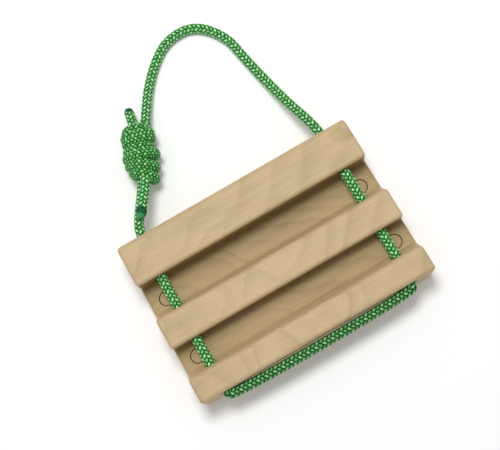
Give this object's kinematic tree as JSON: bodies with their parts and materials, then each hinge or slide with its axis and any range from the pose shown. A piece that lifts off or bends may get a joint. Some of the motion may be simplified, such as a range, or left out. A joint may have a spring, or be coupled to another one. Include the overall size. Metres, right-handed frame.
{
  "type": "portable climbing hangboard",
  "caption": "Wooden block with rounded grip rails and long finger slots, threaded with a knotted rope loop to hang it by.",
  "frame": {"origin": "centre of the board's back face, which is the face that the board lies on", "axes": "+X along the board to its right end, +Y up the board towards the hanging loop, +Z out of the gripping face"},
  "size_m": [0.25, 0.358, 0.044],
  "materials": {
    "board_wood": "fine sanded beech, satin oil",
    "plug_wood": "fine sanded beech, satin oil",
    "rope_sheath": "shiny braided sheath of green filament yarns",
    "sealed_rope": "melted and set rope yarn, slightly glossy"
  },
  "bodies": {
    "root": {"grip_board": "board_wood", "slot_one_left_plug": "plug_wood", "slot_one_right_plug": "plug_wood", "slot_two_left_plug": "plug_wood", "slot_two_right_plug": "plug_wood", "rope_threaded": "rope_sheath", "rope_loop": "rope_sheath", "rope_leg": "rope_sheath", "rope_knot": "rope_sheath", "knot_lower_tail": "rope_sheath", "knot_upper_tail": "rope_sheath", "lower_sealed_end": "sealed_rope", "upper_sealed_end": "sealed_rope"}
  },
  "joints": []
}
